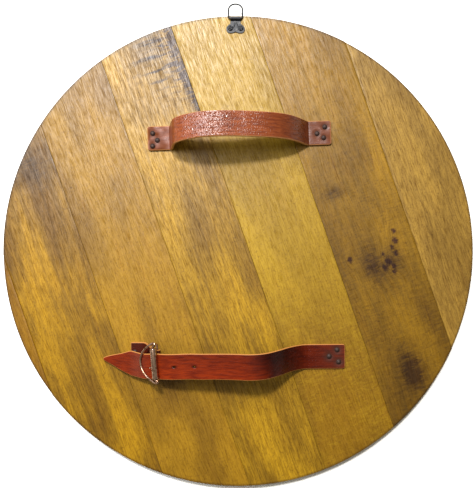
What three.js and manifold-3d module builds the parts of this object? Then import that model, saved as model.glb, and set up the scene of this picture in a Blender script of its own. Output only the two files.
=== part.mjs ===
// A round shield built of boards, lying on its front with its back and its straps up.
// Millimetres, +Z up, +Y towards the hanger. The origin is the middle of the front face, on the ground.

import * as THREE from "three";
import { mergeVertices } from "three/addons/utils/BufferGeometryUtils.js";
import Module from "manifold-3d";

const wasm = await Module();
wasm.setup();

// Boards. The seams run across the disc at an angle to +Y, each at a share of its radius from the middle.
const shieldDiameter = 610;
const boardThickness = 16;
const rimEasing = 1.5;
const seamGap = 0.3;
const seamAngle = THREE.MathUtils.degToRad(19.25);
const seamShares = [-0.9492, -0.6157, -0.2823, 0.0452, 0.378, 0.7223];
const rimFacets = 96;

// Clearances between pieces that touch, seat on or turn in each other.
const seatGap = 0.3;
const shankClearance = 0.3;
const turningClearance = 0.2;

// Rivets and screws.
const rivetHeadDiameter = 6.4;
const rivetHeadHeight = 2;
const rivetShankDiameter = 3;
const rivetSkin = 4;
const screwHeadDiameter = 6.8;
const screwHeadHeight = 1.7;
const screwShankDiameter = 3.2;
const screwSkin = 5;
const fastenerSides = 12;

// Hand grip: one strap, flat at both ends and bowed up between them.
const gripMiddleX = 1.5;
const gripMiddleY = 149.2;
const gripTurn = THREE.MathUtils.degToRad(1.9);
const gripLength = 237.5;
const gripTab = 30;
const gripWidth = 31;
const gripThickness = 3.5;
const gripRise = 49;
const gripLean = THREE.MathUtils.degToRad(7.5);
const gripCorner = 3;
const gripArch = [
  [0, 0], [0.008, 0.09], [0.022, 0.3], [0.046, 0.56], [0.1, 0.75], [0.17, 0.88], [0.24, 0.97],
  [0.33, 1], [0.42, 0.985], [0.51, 0.94], [0.6, 0.875], [0.69, 0.8], [0.78, 0.69], [0.855, 0.54],
  [0.925, 0.31], [0.975, 0.1], [1, 0],
];
const gripRivets = [
  [7, 6.4], [12.7, -2.6], [6.4, -9.9],
  [-8.3, 7.5], [-18.6, -0.8], [-10.2, -6.4],
];

// Arm strap: riveted at +X, bowed up, then down through the buckle to a pointed end.
const armFixedEnd = 138;
const armTab = 48;
const armY = -136;
const armReach = 312;
const armWidth = 31.5;
const armThickness = 3.2;
const armRise = 49;
const armCorner = 3;
const armPointLength = 38;
const armArch = [
  [0, 0], [0.025, 0.035], [0.06, 0.16], [0.1, 0.38], [0.15, 0.72], [0.215, 0.99], [0.285, 1],
  [0.355, 0.92], [0.445, 0.83], [0.54, 0.77], [0.634, 0.69], [0.699, 0.57], [0.746, 0.445], [0.811, 0.25],
  [0.852, 0.175], [0.905, 0.1], [0.953, 0.05], [1, 0.02],
];
const armDrift = [
  [0, 0], [0.25, -0.5], [0.42, -3.6], [0.62, -5], [0.76, -7.4], [0.83, -9.6], [0.9, -6.5], [1, -3],
];
const armRivets = [[10.3, 8.6], [20.6, 0.3], [8.4, -6.9]];
const adjustHoleDiameter = 4;
const adjustHolesFromBuckle = [48, 23];

// Buckle: a bent wire frame with a roller on its outer bar and a middle bar that holds the short strap.
const buckleShare = 0.7254;
const buckleReach = 20.5;
const buckleSkew = THREE.MathUtils.degToRad(5.9);
const buckleHalfLength = 22.9;
const buckleSlide = 5.2;
const frameWire = 2.8;
const rollerDiameter = 8;
const rollerLength = 37;
const rollerWall = 1;
const rollerSlide = 0.6;
const middleBarShare = 0.08;
const middleBarWire = 2.7;
const prongWire = 2.2;
const prongHoleDiameter = 3.6;
const frameOutline = [
  [0, 0], [0.45, 0], [0.87, 0], [0.95, -0.12], [1.03, -0.14], [1.07, 0], [0.99, 0.2],
  [0.8, 0.54], [0.55, 0.81], [0.28, 0.96], [0, 1],
];
const middleBarCrank = [[0, 0], [0.1, 0.5], [0.4, 0.88], [0.9, 0.99], [1.5, 1], [2.5, 1]];
const prongEyeFrom = -200;
const prongEyeTo = 60;
const prongTipTurn = 42;

// Short strap: folded round the buckle's middle bar, both layers riveted to the boards.
const shortStrapReach = 38.2;
const shortStrapTab = 17;
const shortStrapAcross = 4.2;
const shortStrapWidth = 28;
const shortStrapThickness = 2.5;
const shortStrapDrift = -6.5;
const shortStrapRivets = [[5.5, 2], [10.5, -4], [5.5, -10]];
const shortStrapFlat = 10;
const shortStrapLowerLift = 0.4;
const shortStrapUpperLift = 0.9;
const shortStrapSlotWidth = 3.4;
const foldFrom = -62;
const foldTo = 130;
const foldSteps = 8;

// Hanger: a sheet steel plate with a rolled barrel, a wire ring through it and two screws.
const hangerX = -3.5;
const hangerInset = 4.3;
const plateThickness = 1;
const barrelLength = 13.4;
const plateLength = 18.5;
const plateNeck = 4.8;
const plateNotch = 1.9;
const earWidth = 23.9;
const earFullest = 12.2;
const screwSpacing = 13.4;
const screwFromAxis = 12.1;
const ringWire = 2.2;
const ringWidth = 20.2;
const ringLength = 23.4;
const ringShoulderAt = 3.6;
const ringArcFrom = 12;
const ringArcTo = 78;

const back = boardThickness;
const shieldRadius = shieldDiameter / 2;

const steelBlack = { color: 0x2e3238, roughness: 0.5, metalness: 0.85 };
const nickel = { color: 0xb9ab9c, roughness: 0.3, metalness: 0.95 };
const rivetIron = { color: 0x53392f, roughness: 0.55, metalness: 0.8 };
const gripLeather = { color: 0xa9673c, roughness: 0.5, metalness: 0 };
const armLeather = { color: 0x7d3010, roughness: 0.42, metalness: 0 };
const boardColours = [0xc08a4a, 0xa8853c, 0xc79c52, 0xc2974f, 0xd6b67a, 0x8a6a2e, 0xb98d52];

const shield = new THREE.Group();

function addPiece(name, geometry, finish) {
  const piece = new THREE.Mesh(geometry, new THREE.MeshStandardMaterial(finish));
  piece.name = name;
  shield.add(piece);
}

function toSolid(geometry) {
  const bare = geometry.clone();
  bare.deleteAttribute("normal");
  bare.deleteAttribute("uv");
  const merged = mergeVertices(bare, 1e-4);
  return new wasm.Manifold(new wasm.Mesh({
    numProp: 3,
    vertProperties: new Float32Array(merged.attributes.position.array),
    triVerts: new Uint32Array(merged.index.array),
  }));
}

function toGeometry(solid) {
  const mesh = solid.getMesh();
  const geometry = new THREE.BufferGeometry();
  geometry.setAttribute("position", new THREE.BufferAttribute(mesh.vertProperties, 3));
  geometry.setIndex(new THREE.BufferAttribute(mesh.triVerts, 1));
  return geometry;
}

function cut(geometry, tools) {
  let solid = toSolid(geometry);
  for (const tool of tools) {
    solid = solid.subtract(toSolid(tool));
  }
  return toGeometry(solid);
}

function join(geometries) {
  return toGeometry(geometries.map(toSolid).reduce((whole, solid) => whole.add(solid)));
}

// An upright round post from z = low to z = high.
function post(x, y, low, high, diameter) {
  const geometry = new THREE.CylinderGeometry(diameter / 2, diameter / 2, high - low, fastenerSides);
  geometry.rotateX(Math.PI / 2);
  geometry.translate(x, y, (low + high) / 2);
  return geometry;
}

// A round wire along a curve. On a closed curve the two end caps are dropped, so the wall closes on itself.
function wire(curve, diameter, steps, sides = 8) {
  const corners = [];
  for (let i = 0; i < sides; i += 1) {
    const angle = (2 * Math.PI * i) / sides;
    corners.push(new THREE.Vector2(Math.cos(angle), Math.sin(angle)).multiplyScalar(diameter / 2));
  }
  const section = new THREE.Shape(corners);
  const tube = new THREE.ExtrudeGeometry(section, { extrudePath: curve, steps, bevelEnabled: false });
  if (!curve.closed) {
    return tube;
  }
  const wall = tube.groups[1];
  const positions = tube.attributes.position.array.slice(wall.start * 3, (wall.start + wall.count) * 3);
  const ring = new THREE.BufferGeometry();
  ring.setAttribute("position", new THREE.BufferAttribute(positions, 3));
  return mergeVertices(ring, 1e-3);
}

// Shares of a length and a rise become a smooth centre line in the XZ plane.
function archLine(shares, length, rise, samples) {
  const points = shares.map(([along, up]) => new THREE.Vector3(along * length, 0, up * rise));
  return new THREE.CatmullRomCurve3(points, false, "centripetal").getPoints(samples);
}

// The normal of a line of points in the XZ plane, on the side that is up where the line runs along +X.
function normalAt(line, i) {
  const before = line[Math.max(i - 1, 0)];
  const after = line[Math.min(i + 1, line.length - 1)];
  const along = after.clone().sub(before).setY(0).normalize();
  return new THREE.Vector3(-along.z, 0, along.x);
}

// A flat strap whose centre line is given in the XZ plane, centred on y = 0.
function ribbon(line, width, thickness) {
  const upper = line.map((p, i) => p.clone().addScaledVector(normalAt(line, i), thickness / 2));
  const lower = line.map((p, i) => p.clone().addScaledVector(normalAt(line, i), -thickness / 2));
  const outline = [...lower, ...upper.reverse()].map((p) => new THREE.Vector2(p.x, p.z));
  const section = new THREE.Shape(outline);
  const geometry = new THREE.ExtrudeGeometry(section, { depth: width, bevelEnabled: false });
  geometry.rotateX(Math.PI / 2);
  geometry.translate(0, width / 2, 0);
  return geometry;
}

// Keeps only what lies inside a plan outline.
function trimToPlan(geometry, shape, height) {
  const upright = { depth: 2 * height, bevelEnabled: false, curveSegments: 4 };
  const plan = new THREE.ExtrudeGeometry(shape, upright);
  plan.translate(0, 0, -height);
  return toGeometry(toSolid(geometry).intersect(toSolid(plan)));
}

// A rectangle from x = left to x = right with rounded corners, or with a point at one end.
function strapPlan(left, right, width, corner, pointLength = 0) {
  const half = width / 2;
  const shape = new THREE.Shape();
  shape.moveTo(left + corner, -half);
  shape.lineTo(right - Math.max(pointLength, corner), -half);
  if (pointLength > 0) {
    const waist = right - pointLength / 2;
    shape.bezierCurveTo(waist, -half * 0.86, right, -half * 0.22, right, 0);
    shape.bezierCurveTo(right, half * 0.22, waist, half * 0.86, right - pointLength, half);
  } else {
    shape.absarc(right - corner, -half + corner, corner, -Math.PI / 2, 0);
    shape.absarc(right - corner, half - corner, corner, 0, Math.PI / 2);
  }
  shape.lineTo(left + corner, half);
  shape.absarc(left + corner, half - corner, corner, Math.PI / 2, Math.PI);
  shape.absarc(left + corner, -half + corner, corner, Math.PI, 1.5 * Math.PI);
  return shape;
}

// Moves each point by a function of it.
function bend(geometry, move) {
  const position = geometry.attributes.position;
  const point = new THREE.Vector3();
  for (let i = 0; i < position.count; i += 1) {
    point.fromBufferAttribute(position, i);
    move(point);
    position.setXYZ(i, point.x, point.y, point.z);
  }
  return geometry;
}

// A smooth value between (place, value) pairs.
function blendAlong(pairs, place) {
  const last = pairs.length - 1;
  if (place <= pairs[0][0]) {
    return pairs[0][1];
  }
  if (place >= pairs[last][0]) {
    return pairs[last][1];
  }
  const next = pairs.findIndex(([at]) => at > place);
  const [from, low] = pairs[next - 1];
  const [to, high] = pairs[next];
  return low + (high - low) * THREE.MathUtils.smoothstep(place, from, to);
}

// A domed head with its shank, standing at a point on what it holds down.
function fastener(x, y, seat, { headDiameter, headHeight, shankDiameter, skin }) {
  const headRadius = headDiameter / 2;
  const shankRadius = shankDiameter / 2;
  const bottom = skin - seat;
  const profile = [
    [0, bottom], [shankRadius, bottom], [shankRadius, 0], [headRadius, 0], [headRadius, headHeight * 0.3],
    [headRadius * 0.86, headHeight * 0.68], [headRadius * 0.5, headHeight * 0.93], [0, headHeight],
  ];
  const geometry = new THREE.LatheGeometry(profile.map(([r, z]) => new THREE.Vector2(r, z)), fastenerSides);
  geometry.rotateX(Math.PI / 2);
  geometry.translate(x, y, seat);
  return geometry;
}

const fasteners = [];

// Each fastener keeps its place, so that the boards and straps under it get a hole for its shank.
function addFastener(name, x, y, seat, kind) {
  addPiece(name, fastener(x, y, seat + seatGap, kind), kind.finish);
  fasteners.push({ x, y, seat, kind });
}

// The shanks stop short of the front face by their skin, and each hole is a clearance deeper and wider.
// A hole goes on above the seat, so that it comes out clear of what the fastener holds down.
function shankHoles() {
  return fasteners.map(({ x, y, seat, kind }) => {
    const bore = kind.shankDiameter + 2 * shankClearance;
    return post(x, y, kind.skin - shankClearance, seat + kind.headHeight, bore);
  });
}

const rivetKind = {
  headDiameter: rivetHeadDiameter,
  headHeight: rivetHeadHeight,
  shankDiameter: rivetShankDiameter,
  skin: rivetSkin,
  finish: rivetIron,
};
const screwKind = {
  headDiameter: screwHeadDiameter,
  headHeight: screwHeadHeight,
  shankDiameter: screwShankDiameter,
  skin: screwSkin,
  finish: steelBlack,
};

// Hand grip. Its own x runs from the left end to the right end, then it leans, turns and takes its place.
function gripSolid() {
  const archLength = gripLength - 2 * gripTab;
  const seat = seatGap + gripThickness / 2;
  const arch = archLine(gripArch, archLength, gripRise, 44);
  const line = arch.map((p) => new THREE.Vector3(p.x - archLength / 2, 0, p.z + seat));
  line.unshift(new THREE.Vector3(-gripLength / 2, 0, seat));
  line.push(new THREE.Vector3(gripLength / 2, 0, seat));
  const strap = ribbon(line, gripWidth, gripThickness);
  const plan = strapPlan(-gripLength / 2, gripLength / 2, gripWidth, gripCorner);
  const trimmed = trimToPlan(strap, plan, gripRise + 3 * gripThickness);
  bend(trimmed, (p) => {
    p.y += Math.tan(gripLean) * Math.max(p.z - seat - gripThickness, 0);
  });
  trimmed.rotateZ(gripTurn);
  trimmed.translate(gripMiddleX, gripMiddleY, back);
  return trimmed;
}

// A place on the grip, from its nearer end inwards and across, turned with the strap.
function gripPlace(fromEnd, across) {
  const along = fromEnd > 0 ? fromEnd - gripLength / 2 : gripLength / 2 + fromEnd;
  const place = new THREE.Vector2(along, across).rotateAround(new THREE.Vector2(), gripTurn);
  return [place.x + gripMiddleX, place.y + gripMiddleY];
}

const gripSeat = back + seatGap + gripThickness;
gripRivets.forEach(([fromEnd, across], i) => {
  const [x, y] = gripPlace(fromEnd, across);
  addFastener(`grip_rivet_${i + 1}`, x, y, gripSeat, rivetKind);
});

// Arm strap. Its line is measured from the fixed end, towards -X.
const buckleAt = armTab + buckleShare * (armReach - armTab);
const armSeat = seatGap + armThickness / 2;
const armBow = archLine(armArch, armReach - armTab, armRise, 60);
const armLine = [
  new THREE.Vector3(0, 0, armSeat),
  ...armBow.map((p) => new THREE.Vector3(p.x + armTab, 0, p.z + armSeat)),
];

// A point of the arm strap's centre line at a distance from its fixed end, with the way up from it.
function armPlace(distance) {
  const next = armLine.findIndex((p) => p.x > distance);
  const from = armLine[next - 1];
  const share = (distance - from.x) / (armLine[next].x - from.x);
  const point = from.clone().lerp(armLine[next], share);
  const up = normalAt(armLine, share < 0.5 ? next - 1 : next);
  return { point, up };
}

// From the strap's own line to the shield: the fixed end is at +X and the strap drifts sideways on its way.
function armToShield(p) {
  p.y += blendAlong(armDrift, p.x / armReach) + armY;
  p.x = armFixedEnd - p.x;
  p.z += back;
}

// A round tool that crosses the strap squarely at a distance from its fixed end.
function armHole(distance, diameter) {
  const { point, up } = armPlace(distance);
  const tool = new THREE.CylinderGeometry(diameter / 2, diameter / 2, 5 * armThickness, fastenerSides);
  tool.applyQuaternion(new THREE.Quaternion().setFromUnitVectors(new THREE.Vector3(0, 1, 0), up));
  tool.translate(point.x, 0, point.z);
  return tool;
}

function armSolid() {
  const strap = ribbon(armLine, armWidth, armThickness);
  const plan = strapPlan(0, armReach, armWidth, armCorner, armPointLength);
  const trimmed = trimToPlan(strap, plan, armRise + 3 * armThickness);
  const holes = adjustHolesFromBuckle.map((distance) => armHole(buckleAt - distance, adjustHoleDiameter));
  const punched = cut(trimmed, holes);
  bend(punched, armToShield);
  return cut(turnedOut(punched), [prongHole()]);
}

// Turning x round turns the faces inside out, so each triangle is turned back.
function turnedOut(geometry) {
  const index = geometry.index.array;
  for (let i = 0; i < index.length; i += 3) {
    [index[i], index[i + 1]] = [index[i + 1], index[i]];
  }
  return geometry;
}

armRivets.forEach(([fromEnd, across], i) => {
  const seat = back + seatGap + armThickness;
  addFastener(`arm_rivet_${i + 1}`, armFixedEnd - fromEnd, armY + across, seat, rivetKind);
});

// Buckle. Its outer bar lies on the strap at one place and its curved rim at another, further down.
// The frame has slid across the strap, while the prong stays on the strap's middle line.
const strapClear = armThickness / 2 + seatGap;
const rollerPlace = armPlace(buckleAt);
const rimPlace = armPlace(buckleAt + buckleReach);
const rollerLift = strapClear + rollerDiameter / 2;
const rimLift = strapClear + frameWire / 2;
const rollerCentre = rollerPlace.point.clone().addScaledVector(rollerPlace.up, rollerLift);
const rimCentre = rimPlace.point.clone().addScaledVector(rimPlace.up, rimLift);
armToShield(rollerCentre);
armToShield(rimCentre);
const buckleY = rollerCentre.y + buckleSlide;

const upTheStrap = new THREE.Vector3(rollerPlace.up.z, 0, rollerPlace.up.x);
const alongBar = new THREE.Vector3(0, -Math.cos(buckleSkew), 0);
alongBar.addScaledVector(upTheStrap, Math.sin(buckleSkew));
const acrossFrame = rimCentre.clone().sub(rollerCentre);
acrossFrame.addScaledVector(alongBar, -acrossFrame.dot(alongBar));
const frameDepth = acrossFrame.length();
acrossFrame.normalize();
const outOfFrame = new THREE.Vector3().crossVectors(alongBar, acrossFrame).negate();

// The frame's own places: along its bar, across from the roller to the rim, and out of its plane.
function inBuckle(along, across, out) {
  return new THREE.Vector3(rollerCentre.x, buckleY, rollerCentre.z)
    .addScaledVector(alongBar, along)
    .addScaledVector(acrossFrame, across)
    .addScaledVector(outOfFrame, out);
}

// The middle bar passes under the strap, with the short strap's fold between them.
const middleBar = armPlace(buckleAt + buckleReach * middleBarShare);
const foldRoom = strapClear + shortStrapThickness + turningClearance + frameWire / 2;
const middleBarCentre = middleBar.point.clone().addScaledVector(middleBar.up, -foldRoom);
armToShield(middleBarCentre);
const toMiddleBar = middleBarCentre.clone().sub(inBuckle(0, 0, 0));
const middleBarAcross = toMiddleBar.dot(acrossFrame);
const middleBarDrop = toMiddleBar.dot(outOfFrame);

// Half the frame's length at a share of the way from its roller to its rim.
function frameHalfLengthAt(share) {
  const next = frameOutline.findIndex(([, across]) => across > share);
  const [fromAlong, fromAcross] = frameOutline[next - 1];
  const [toAlong, toAcross] = frameOutline[next];
  const along = fromAlong + ((toAlong - fromAlong) * (share - fromAcross)) / (toAcross - fromAcross);
  return along * buckleHalfLength;
}

function frameSolid() {
  const side = frameOutline.map(([along, across]) => [along * buckleHalfLength, across * frameDepth]);
  const otherSide = side.slice(1, -1).reverse().map(([along, across]) => [-along, across]);
  const loop = [...side, ...otherSide].map(([along, across]) => inBuckle(along, across, 0));
  const rim = wire(new THREE.CatmullRomCurve3(loop, true, "centripetal"), frameWire, 60);
  const reach = frameHalfLengthAt(middleBarAcross / frameDepth);
  const crank = middleBarCrank.map(([wires, drop]) => [wires * frameWire - reach, drop]);
  const otherCrank = crank.slice().reverse().map(([along, drop]) => [-along, drop]);
  const barLine = [...crank, [0, 1], ...otherCrank].map(
    ([along, drop]) => inBuckle(along, middleBarAcross, drop * middleBarDrop),
  );
  const bar = wire(new THREE.CatmullRomCurve3(barLine, false, "centripetal"), middleBarWire, 30);
  return join([rim, bar]);
}

function rollerSolid() {
  const inner = rollerDiameter / 2 - rollerWall;
  const outer = rollerDiameter / 2;
  const half = rollerLength / 2;
  const profile = [[inner, -half], [outer, -half], [outer, half], [inner, half], [inner, -half]];
  const tube = new THREE.LatheGeometry(profile.map(([r, z]) => new THREE.Vector2(r, z)), 24);
  tube.applyQuaternion(new THREE.Quaternion().setFromUnitVectors(new THREE.Vector3(0, 1, 0), alongBar));
  const middle = inBuckle(rollerSlide, 0, 0);
  tube.translate(middle.x, middle.y, middle.z);
  return tube;
}

// The prong has an eye round the middle bar, and comes up through the strap to rest against the roller.
const prongEye = frameWire / 2 + turningClearance + prongWire / 2;
const prongRest = rollerDiameter / 2 + seatGap + prongWire / 2;

function onProngEye(degrees) {
  const angle = THREE.MathUtils.degToRad(degrees);
  const across = middleBarAcross + prongEye * Math.cos(angle);
  return inBuckle(buckleSlide, across, middleBarDrop + prongEye * Math.sin(angle));
}

function onRoller(degrees) {
  const angle = THREE.MathUtils.degToRad(degrees);
  return inBuckle(buckleSlide, prongRest * Math.cos(angle), prongRest * Math.sin(angle));
}

const prongFoot = onProngEye(prongEyeTo);
const prongHead = onRoller(0);

function prongSolid() {
  const line = [];
  for (let i = 0; i <= 10; i += 1) {
    line.push(onProngEye(THREE.MathUtils.lerp(prongEyeFrom, prongEyeTo, i / 10)));
  }
  line.push(prongFoot.clone().lerp(prongHead, 0.5), prongHead);
  line.push(onRoller(prongTipTurn / 2), onRoller(prongTipTurn));
  return wire(new THREE.CatmullRomCurve3(line, false, "centripetal"), prongWire, 30, 6);
}

// The hole that the prong comes up through, along its straight part.
function prongHole() {
  const along = prongHead.clone().sub(prongFoot);
  const length = along.length() + 2 * armThickness;
  const radius = prongHoleDiameter / 2;
  const tool = new THREE.CylinderGeometry(radius, radius, length, fastenerSides);
  const lean = new THREE.Quaternion().setFromUnitVectors(new THREE.Vector3(0, 1, 0), along.normalize());
  tool.applyQuaternion(lean);
  const middle = prongFoot.clone().lerp(prongHead, 0.5);
  tool.translate(middle.x, middle.y, middle.z);
  return tool;
}

// Short strap: out from its rivets under both layers, round the middle bar and back.
const shortStrapEnd = middleBarCentre.x - shortStrapReach;
const shortStrapY = armY + shortStrapAcross;

function shortStrapSolid() {
  const layer = shortStrapThickness;
  const low = seatGap + layer / 2;
  const high = low + layer + seatGap;
  const fold = frameWire / 2 + turningClearance + layer / 2;
  const bar = inBuckle(0, middleBarAcross, middleBarDrop);
  const barX = bar.x - shortStrapEnd;
  const barZ = bar.z - back;
  const turn = [];
  for (let i = 0; i <= foldSteps; i += 1) {
    const angle = THREE.MathUtils.degToRad(THREE.MathUtils.lerp(foldFrom, foldTo, i / foldSteps));
    turn.push(new THREE.Vector3(barX + fold * Math.cos(angle), 0, barZ + fold * Math.sin(angle)));
  }
  const controls = [
    new THREE.Vector3(0, 0, low),
    new THREE.Vector3(shortStrapFlat, 0, low),
    new THREE.Vector3(shortStrapTab, 0, low + shortStrapLowerLift),
    ...turn,
    new THREE.Vector3(shortStrapTab, 0, high + shortStrapUpperLift),
    new THREE.Vector3(shortStrapFlat, 0, high),
    new THREE.Vector3(0, 0, high),
  ];
  const line = new THREE.CatmullRomCurve3(controls, false, "centripetal").getPoints(42).reverse();
  const strap = ribbon(line, shortStrapWidth, layer);
  const slot = new THREE.BoxGeometry(6 * fold, shortStrapSlotWidth, 5 * fold);
  slot.translate(barX + fold, shortStrapSlot(), barZ);
  const slotted = cut(strap, [slot]);
  slotted.translate(shortStrapEnd, shortStrapY, back);
  return bend(slotted, (p) => {
    const share = THREE.MathUtils.smoothstep(p.x, shortStrapEnd + shortStrapTab, bar.x - fold);
    p.y += shortStrapDrift * share;
    const fromMiddle = (share * (p.y - bar.y)) / alongBar.y;
    p.x += fromMiddle * alongBar.x;
    p.z += fromMiddle * alongBar.z;
  });
}

// The slot for the prong, across the short strap.
function shortStrapSlot() {
  return prongFoot.y - shortStrapY - shortStrapDrift;
}

shortStrapRivets.forEach(([fromEnd, across], i) => {
  const seat = back + 2 * (seatGap + shortStrapThickness);
  addFastener(`buckle_rivet_${i + 1}`, shortStrapEnd + fromEnd, shortStrapY + across, seat, rivetKind);
});

// Hanger. The barrel is at the plate's outer end, close to the rim of the boards.
const barrelOuter = ringWire / 2 + turningClearance + plateThickness;
const hingeZ = back + seatGap + barrelOuter;
const hingeY = shieldRadius - hangerInset;

function platePlan() {
  const neck = barrelLength / 2;
  const ear = earWidth / 2;
  const flare = (plateNeck + earFullest) / 2;
  const shape = new THREE.Shape();
  shape.moveTo(-neck, 0);
  shape.lineTo(-neck, -plateNeck);
  shape.quadraticCurveTo(-ear, -flare, -ear, -earFullest);
  shape.quadraticCurveTo(-ear, -plateLength, -ear / 2, -plateLength);
  shape.quadraticCurveTo(-ear / 4, -plateLength, 0, plateNotch - plateLength);
  shape.quadraticCurveTo(ear / 4, -plateLength, ear / 2, -plateLength);
  shape.quadraticCurveTo(ear, -plateLength, ear, -earFullest);
  shape.quadraticCurveTo(ear, -flare, neck, -plateNeck);
  shape.lineTo(neck, 0);
  return shape;
}

function plateSolid() {
  const sheet = { depth: plateThickness, bevelEnabled: false, curveSegments: 6 };
  const flat = new THREE.ExtrudeGeometry(platePlan(), sheet);
  flat.translate(hangerX, hingeY, back + seatGap);
  const barrel = new THREE.CylinderGeometry(barrelOuter, barrelOuter, barrelLength, 24);
  barrel.rotateZ(Math.PI / 2);
  barrel.translate(hangerX, hingeY, hingeZ);
  const boreDiameter = ringWire + 2 * turningClearance;
  const bore = new THREE.CylinderGeometry(boreDiameter / 2, boreDiameter / 2, 2 * barrelLength, 16);
  bore.rotateZ(Math.PI / 2);
  bore.translate(hangerX, hingeY, hingeZ);
  return cut(join([flat, barrel]), [bore]);
}

for (const [side, name] of [[-1, "left"], [1, "right"]]) {
  const x = hangerX + (side * screwSpacing) / 2;
  addFastener(`hanger_screw_${name}`, x, hingeY - screwFromAxis, back + seatGap + plateThickness, screwKind);
}

// The ring droops until its wire rests on the eased edge of the boards.
function ringDroop() {
  const overEdge = hingeZ - back + rimEasing;
  const beyondEdge = hingeY - (shieldRadius - rimEasing);
  const reach = Math.hypot(overEdge, beyondEdge);
  const contact = rimEasing + ringWire / 2 + seatGap;
  return Math.acos(contact / reach) + Math.atan2(beyondEdge, overEdge);
}

function ringSolid() {
  const half = (ringWidth - ringWire) / 2;
  const bar = barrelLength / 2 + turningClearance;
  const arcCentre = ringLength - half;
  const corner = [(bar + half) / 2 + 0.1 * ringWire, 0.5 * ringWire];
  const points = [
    [0, 0], [bar / 2, 0], [bar, 0], corner, [half, ringShoulderAt], [half, arcCentre - ringWire / 2],
  ];
  for (let i = 0; i <= 3; i += 1) {
    const angle = THREE.MathUtils.degToRad(THREE.MathUtils.lerp(ringArcFrom, ringArcTo, i / 3));
    points.push([half * Math.cos(angle), arcCentre + half * Math.sin(angle)]);
  }
  const otherSide = points.slice(1).reverse().map(([x, y]) => [-x, y]);
  const loop = [...points, [0, ringLength], ...otherSide].map(([x, y]) => new THREE.Vector3(x, y, 0));
  const ring = wire(new THREE.CatmullRomCurve3(loop, true, "centripetal"), ringWire, 48);
  ring.rotateX(-ringDroop());
  ring.translate(hangerX, hingeY, hingeZ);
  return ring;
}

// The whole disc, with its rim eased on both faces.
function discSolid() {
  const quarter = [0, 1, 2, 3].map((i) => (Math.PI / 2) * (i / 3));
  const eased = quarter.map((angle) => [1 - Math.cos(angle), 1 - Math.sin(angle)].map((v) => v * rimEasing));
  const lower = eased.slice().reverse().map(([inset, height]) => [shieldRadius - inset, height]);
  const upper = eased.map(([inset, height]) => [shieldRadius - inset, boardThickness - height]);
  const profile = [[0, 0], ...lower, ...upper, [0, boardThickness]];
  const disc = new THREE.LatheGeometry(profile.map(([r, z]) => new THREE.Vector2(r, z)), rimFacets);
  disc.rotateX(Math.PI / 2);
  return toSolid(disc);
}

// Each board is the part of the disc between two seams, with a hole for every shank that reaches into it.
function addBoards() {
  const rim = shieldRadius + seamGap;
  const seams = [-rim, ...seamShares.map((share) => share * shieldRadius), rim];
  const holes = shankHoles().map(toSolid).reduce((all, hole) => all.add(hole));
  const drilled = discSolid().subtract(holes);
  for (let i = 0; i + 1 < seams.length; i += 1) {
    const width = seams[i + 1] - seams[i] - seamGap;
    const slab = new THREE.BoxGeometry(width, 2 * shieldDiameter, 4 * boardThickness);
    slab.translate((seams[i] + seams[i + 1]) / 2, 0, 0);
    slab.rotateZ(seamAngle);
    const finish = { color: boardColours[i % boardColours.length], roughness: 0.6, metalness: 0 };
    addPiece(`board_${i + 1}`, toGeometry(drilled.intersect(toSolid(slab))), finish);
  }
}

addBoards();
addPiece("grip_strap", cut(gripSolid(), shankHoles()), gripLeather);
addPiece("arm_strap", cut(armSolid(), shankHoles()), armLeather);
addPiece("buckle_strap", cut(shortStrapSolid(), shankHoles()), armLeather);
addPiece("buckle_frame", frameSolid(), nickel);
addPiece("buckle_roller", rollerSolid(), nickel);
addPiece("buckle_prong", prongSolid(), nickel);
addPiece("hanger_plate", cut(plateSolid(), shankHoles()), steelBlack);
addPiece("hanger_ring", ringSolid(), steelBlack);

export default shield;
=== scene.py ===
import math

import bpy
import numpy as np
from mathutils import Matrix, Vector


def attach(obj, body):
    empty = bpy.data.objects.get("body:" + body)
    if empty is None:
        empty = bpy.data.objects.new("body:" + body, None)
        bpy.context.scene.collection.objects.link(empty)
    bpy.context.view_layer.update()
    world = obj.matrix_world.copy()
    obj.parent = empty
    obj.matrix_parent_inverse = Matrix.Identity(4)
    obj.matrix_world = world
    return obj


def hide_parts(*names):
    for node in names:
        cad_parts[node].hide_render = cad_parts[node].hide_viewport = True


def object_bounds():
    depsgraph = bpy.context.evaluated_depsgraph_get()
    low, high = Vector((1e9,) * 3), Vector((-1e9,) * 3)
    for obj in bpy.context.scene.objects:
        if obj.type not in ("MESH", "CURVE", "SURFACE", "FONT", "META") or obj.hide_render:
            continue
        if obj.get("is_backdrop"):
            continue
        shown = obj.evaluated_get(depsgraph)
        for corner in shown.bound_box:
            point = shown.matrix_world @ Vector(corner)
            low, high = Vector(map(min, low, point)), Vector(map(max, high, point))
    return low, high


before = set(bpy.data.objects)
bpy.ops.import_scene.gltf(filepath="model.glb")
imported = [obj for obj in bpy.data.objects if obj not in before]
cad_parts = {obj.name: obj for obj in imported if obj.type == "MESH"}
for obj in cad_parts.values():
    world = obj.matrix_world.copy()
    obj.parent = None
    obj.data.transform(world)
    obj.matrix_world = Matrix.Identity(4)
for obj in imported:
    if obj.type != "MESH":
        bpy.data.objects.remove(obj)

box_at_load = [list(corner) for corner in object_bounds()]

# Boards. A round shield of mango-wood boards, glued edge to edge, cut to a circle and oiled.
# The seams run at a slant under the straps, and the edge has been eased by hand.
# Lengths are metres, in the part's own frame: the front face lies on the ground at z = 0.
board_thickness = 0.016
shield_radius = 0.305
rim_easing = 0.0016
seam_easing = 0.0004
seam_gap = 0.0001
seam_angle = math.radians(19.25)
seams = [-0.2895, -0.1878, -0.0861, 0.0138, 0.1153, 0.2203]
rim_shade_reach = 0.0032
seam_wear = 0.0011
board_cell = 0.0018
board_rows = 330
narrow_board = 0.09
back = board_thickness


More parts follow.
